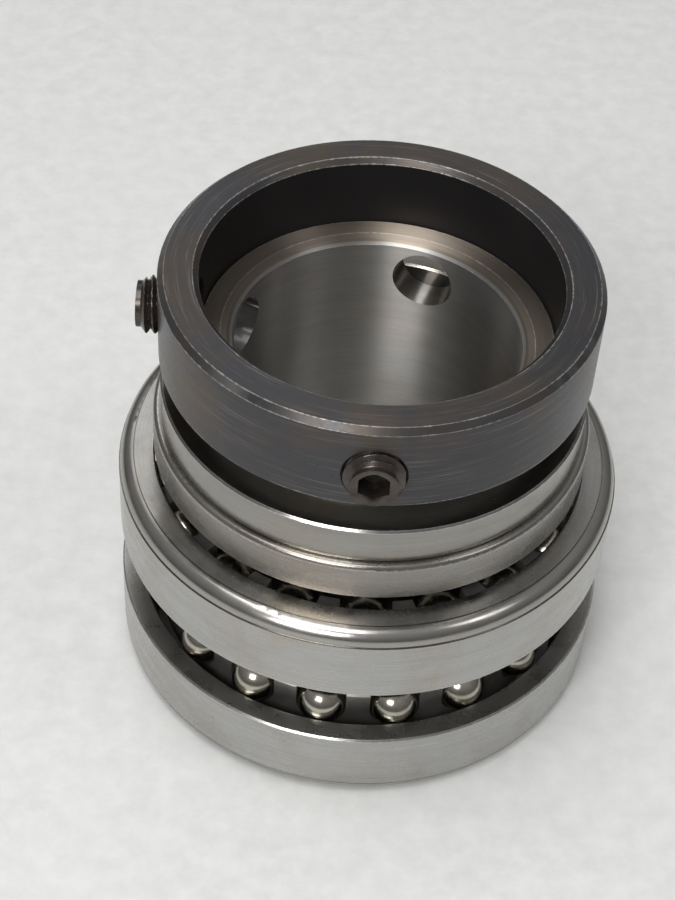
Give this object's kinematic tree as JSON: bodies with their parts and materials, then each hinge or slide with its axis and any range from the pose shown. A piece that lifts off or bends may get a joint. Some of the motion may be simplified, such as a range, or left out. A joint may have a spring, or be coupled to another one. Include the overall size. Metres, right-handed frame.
{
  "type": "thrust ball bearing",
  "caption": "Double-direction angular-contact thrust ball bearing on a flanged sleeve, with separable outer rings, caged ball rows and a set-screw lock collar.",
  "frame": {"origin": "on the shaft axis, in the plane of the flange's underside, which is also the underside of the lower outer ring where it rests", "axes": "+Z along the shaft axis towards the lock collar; one set screw along -Y, the other along -X"},
  "size_m": [0.1142, 0.1142, 0.1076],
  "materials": {
    "bearing_steel": "ground",
    "satin_ring_steel": "satin turned",
    "ground_bore_steel": "ground",
    "cage_steel": "dark satin",
    "black_oxide": "black oxide, satin",
    "screw_steel": "dark oxide",
    "ball_chrome": "mirror polished"
  },
  "bodies": {
    "inner_assembly": {"adapter_sleeve": "ground_bore_steel", "lower_inner_ring": "bearing_steel", "upper_inner_ring": "bearing_steel", "clamp_ring": "satin_ring_steel", "spacer_ring": "satin_ring_steel"},
    "lower_ring": {"lower_outer_ring": "bearing_steel"},
    "upper_ring": {"upper_outer_ring": "bearing_steel"},
    "lower_ball_set": {"lower_cage": "cage_steel", "lower_ball_01": "ball_chrome", "lower_ball_02": "ball_chrome", "lower_ball_03": "ball_chrome", "lower_ball_04": "ball_chrome", "lower_ball_05": "ball_chrome", "lower_ball_06": "ball_chrome", "lower_ball_07": "ball_chrome", "lower_ball_08": "ball_chrome", "lower_ball_09": "ball_chrome", "lower_ball_10": "ball_chrome", "lower_ball_11": "ball_chrome", "lower_ball_12": "ball_chrome", "lower_ball_13": "ball_chrome", "lower_ball_14": "ball_chrome", "lower_ball_15": "ball_chrome", "lower_ball_16": "ball_chrome", "lower_ball_17": "ball_chrome", "lower_ball_18": "ball_chrome"},
    "upper_ball_set": {"upper_cage": "cage_steel", "upper_ball_01": "ball_chrome", "upper_ball_02": "ball_chrome", "upper_ball_03": "ball_chrome", "upper_ball_04": "ball_chrome", "upper_ball_05": "ball_chrome", "upper_ball_06": "ball_chrome", "upper_ball_07": "ball_chrome", "upper_ball_08": "ball_chrome", "upper_ball_09": "ball_chrome", "upper_ball_10": "ball_chrome", "upper_ball_11": "ball_chrome", "upper_ball_12": "ball_chrome", "upper_ball_13": "ball_chrome", "upper_ball_14": "ball_chrome", "upper_ball_15": "ball_chrome", "upper_ball_16": "ball_chrome", "upper_ball_17": "ball_chrome", "upper_ball_18": "ball_chrome"},
    "collar": {"lock_collar": "black_oxide"},
    "front_screw": {"set_screw_front": "screw_steel"},
    "side_screw": {"set_screw_side": "screw_steel"}
  },
  "joints": [
    {"name": "upper_ring_spin", "type": "hinge", "parent": "inner_assembly", "child": "upper_ring", "pos_m": [0, 0, 0.045], "axis": [0, 0, 1], "continuous": true},
    {"name": "upper_balls_orbit", "type": "hinge", "parent": "inner_assembly", "child": "upper_ball_set", "pos_m": [0, 0, 0.04875], "axis": [0, 0, 1], "continuous": true},
    {"name": "lower_balls_orbit", "type": "hinge", "parent": "inner_assembly", "child": "lower_ball_set", "pos_m": [0, 0, 0.02], "axis": [0, 0, 1], "continuous": true},
    {"name": "lower_ring_seating", "type": "slide", "parent": "inner_assembly", "child": "lower_ring", "axis": [0, 0, 1], "range_m": [0, 0.0128]},
    {"name": "collar_slide", "type": "slide", "parent": "inner_assembly", "child": "collar", "axis": [0, 0, 1], "range_m": [-0.0069, 0.0045]},
    {"name": "front_screw_travel", "type": "slide", "parent": "collar", "child": "front_screw", "axis": [0, -1, 0], "range_m": [-0.0007, 0.0065]},
    {"name": "side_screw_travel", "type": "slide", "parent": "collar", "child": "side_screw", "axis": [-1, 0, 0], "range_m": [-0.002, 0.0052]}
  ],
  "couplings": [
    {"joint": "upper_balls_orbit", "follows": "upper_ring_spin", "ratio": 0.5299}
  ]
}
